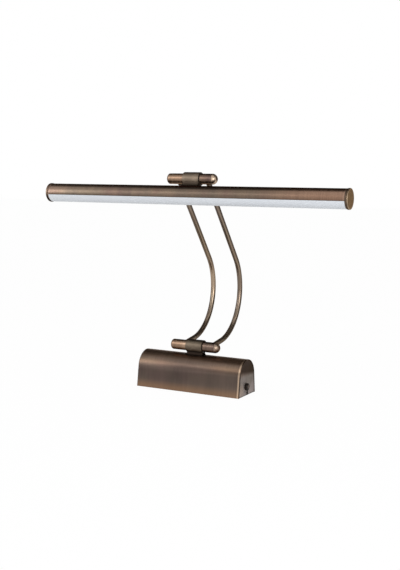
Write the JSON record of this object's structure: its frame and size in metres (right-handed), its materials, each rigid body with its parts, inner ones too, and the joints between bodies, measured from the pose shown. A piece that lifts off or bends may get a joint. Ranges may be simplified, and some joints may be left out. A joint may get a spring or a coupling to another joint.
{
  "type": "bathroom mirror light",
  "caption": "Mirror light: long tubular lamp head with an opal strip on a pair of bent arms over an arch-section base, tilting at both cross bars.",
  "frame": {"origin": "middle of the mounting face under the base", "axes": "+Z leaves the mounting face, +X runs along the lamp tube, +Y is the side that the arms bulge to"},
  "size_m": [0.4366, 0.1355, 0.2899],
  "materials": {
    "housing_bronze": "antique bronze lacquer with rubbed bright edges",
    "bar_bronze": "antique copper-bronze, satin",
    "knuckle_bronze": "matt olive bronze",
    "arm_bronze": "antique bronze, satin",
    "tube_bronze": "brushed antique bronze",
    "opal": "opal diffuser",
    "gasket": "dark silicone",
    "switch_black": "black moulded plastic",
    "steel": "zinc plated",
    "alloy": "plain extruded",
    "board": "white solder mask",
    "chip": "light chip",
    "driver_case": "white moulded case",
    "lead_red": "insulated lead",
    "lead_blue": "insulated lead",
    "liner": "nylon liner",
    "tag": "plain brass"
  },
  "bodies": {
    "base": {"base_cover": "housing_bronze", "end_plate_left": "housing_bronze", "end_plate_right": "housing_bronze", "mounting_plate": "steel", "cover_screws": "bar_bronze", "cable_grommet": "gasket", "led_driver": "driver_case", "driver_screws": "steel", "terminal_block": "driver_case", "terminal_screws": "steel", "block_screw": "steel", "earth_tag": "tag", "earth_screw": "steel", "switch_body": "switch_black", "switch_nut": "steel", "base_leads": "lead_red", "mains_leads": "lead_blue", "lower_knuckle": "knuckle_bronze", "lower_liner": "liner", "lower_clamp": "steel", "lower_clamp_screws": "steel"},
    "arm": {"lower_bar": "bar_bronze", "lower_bar_caps": "bar_bronze", "arm_left": "arm_bronze", "arm_right": "arm_bronze", "arm_leads": "lead_red", "upper_bar": "bar_bronze", "upper_bar_caps": "bar_bronze"},
    "head": {"upper_knuckle": "knuckle_bronze", "upper_liner": "liner", "upper_clamp": "steel", "upper_clamp_screws": "steel", "lamp_tube": "tube_bronze", "diffuser": "opal", "led_tray": "alloy", "led_board": "board", "led_chips": "chip", "head_leads": "lead_red", "gasket_left": "gasket", "gasket_right": "gasket", "end_cap_left": "bar_bronze", "end_cap_right": "bar_bronze"},
    "lever": {"switch_lever": "switch_black"}
  },
  "joints": [
    {"name": "arm_swing", "type": "hinge", "parent": "base", "child": "arm", "pos_m": [0, 0, 0.0582], "axis": [1, 0, 0], "range_deg": [-35, 35]},
    {"name": "head_tilt", "type": "hinge", "parent": "arm", "child": "head", "pos_m": [0, -0.0167, 0.2811], "axis": [1, 0, 0], "range_deg": [-70, 22]},
    {"name": "switch_turn", "type": "hinge", "parent": "base", "child": "lever", "pos_m": [0.0761, -0.004, 0.0122], "axis": [1, 0, 0], "range_deg": [0, 90]}
  ]
}
